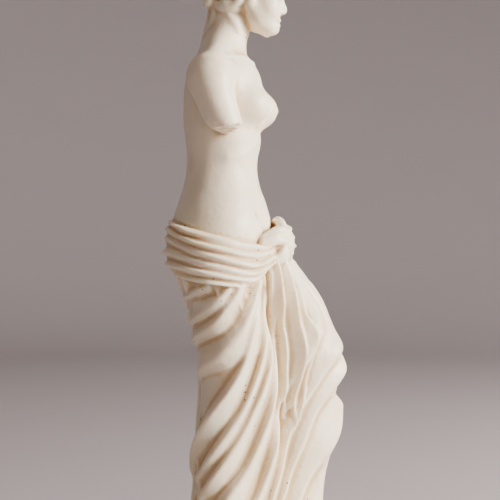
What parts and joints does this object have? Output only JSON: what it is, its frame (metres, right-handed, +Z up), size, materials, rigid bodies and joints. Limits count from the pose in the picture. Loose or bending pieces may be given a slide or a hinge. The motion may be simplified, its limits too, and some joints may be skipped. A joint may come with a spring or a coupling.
{
  "type": "classical draped statuette",
  "caption": "Standing half-draped goddess statuette with broken upper arms and a mantle knotted at the hip, cast in one with a low oval plinth.",
  "frame": {"origin": "centre of the plinth's underside", "axes": "+Z up along the figure, the figure faces -Y, its own left side is +X"},
  "size_m": [0.0766, 0.0826, 0.2502],
  "materials": {
    "cast_stone": "satin cream cast stone resin with a soft translucency"
  },
  "bodies": {
    "root": {"aphrodite_statue": "cast_stone"}
  },
  "joints": []
}
